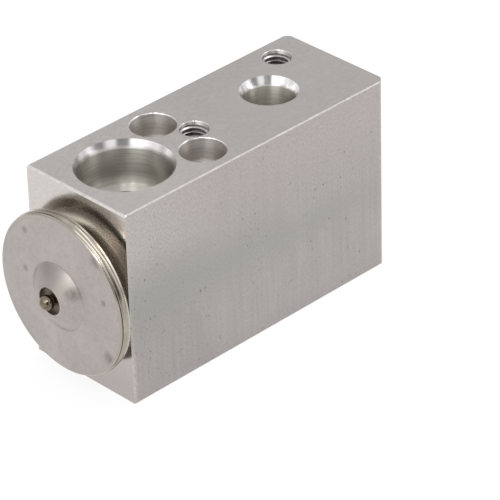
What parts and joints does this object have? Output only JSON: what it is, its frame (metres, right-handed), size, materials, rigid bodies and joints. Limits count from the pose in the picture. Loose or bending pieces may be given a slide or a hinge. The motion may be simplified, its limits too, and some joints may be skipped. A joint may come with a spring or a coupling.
{
  "type": "thermostatic expansion valve",
  "caption": "Block type expansion valve: drilled aluminium block with pipe ports, a stainless power head, a sensing rod, a spring-loaded ball valve and an adjusting screw.",
  "frame": {"origin": "middle of the evaporator face, on which the block rests", "axes": "+Z from the evaporator face up to the pipe face; +X along the valve axis, from the power head to the adjusting screw"},
  "size_m": [0.0834, 0.035, 0.0441],
  "materials": {
    "block_aluminium": "satin, extruded sides, milled and sawn faces",
    "pressed_stainless": "satin pressed sheet with a welded rim",
    "turned_stainless": "turned",
    "diaphragm_sheet": "thin rolled sheet",
    "bright_steel": "polished, slightly heat tinted",
    "spring_steel": "drawn wire and sheet",
    "rod_aluminium": "turned",
    "screw_brass": "turned",
    "seal_rubber": "moulded, green"
  },
  "bodies": {
    "block": {"valve_body": "block_aluminium", "head_housing": "pressed_stainless", "head_cover": "pressed_stainless", "diaphragm": "diaphragm_sheet", "charge_ball": "bright_steel", "head_gasket": "seal_rubber", "pin_seal": "seal_rubber", "pin_seal_retainer": "bright_steel", "valve_spring": "spring_steel"},
    "valve_stem": {"diaphragm_stopper": "turned_stainless", "sensing_rod": "rod_aluminium", "push_pin": "turned_stainless", "valve_ball": "bright_steel", "ball_carrier": "turned_stainless", "damping_spring": "spring_steel"},
    "screw_seal": {"adjusting_screw_seal": "seal_rubber"},
    "screw": {"adjusting_screw": "screw_brass"}
  },
  "joints": [
    {"name": "valve_lift", "type": "slide", "parent": "block", "child": "valve_stem", "axis": [1, 0, 0], "range_m": [0, 0.0008], "stiffness_N_per_m": 2000, "springref_m": -0.002, "deforming": ["valve_spring", "diaphragm"]},
    {"name": "screw_advance", "type": "slide", "parent": "block", "child": "screw_seal", "axis": [1, 0, 0], "range_m": [-0.001, 0.0005]},
    {"name": "screw_turn", "type": "hinge", "parent": "screw_seal", "child": "screw", "pos_m": [0.033, 0, 0.0223], "axis": [1, 0, 0], "range_deg": [-360, 180]}
  ],
  "couplings": [
    {"joint": "screw_advance", "follows": "screw_turn", "m_per_rad": 0.00015915}
  ]
}
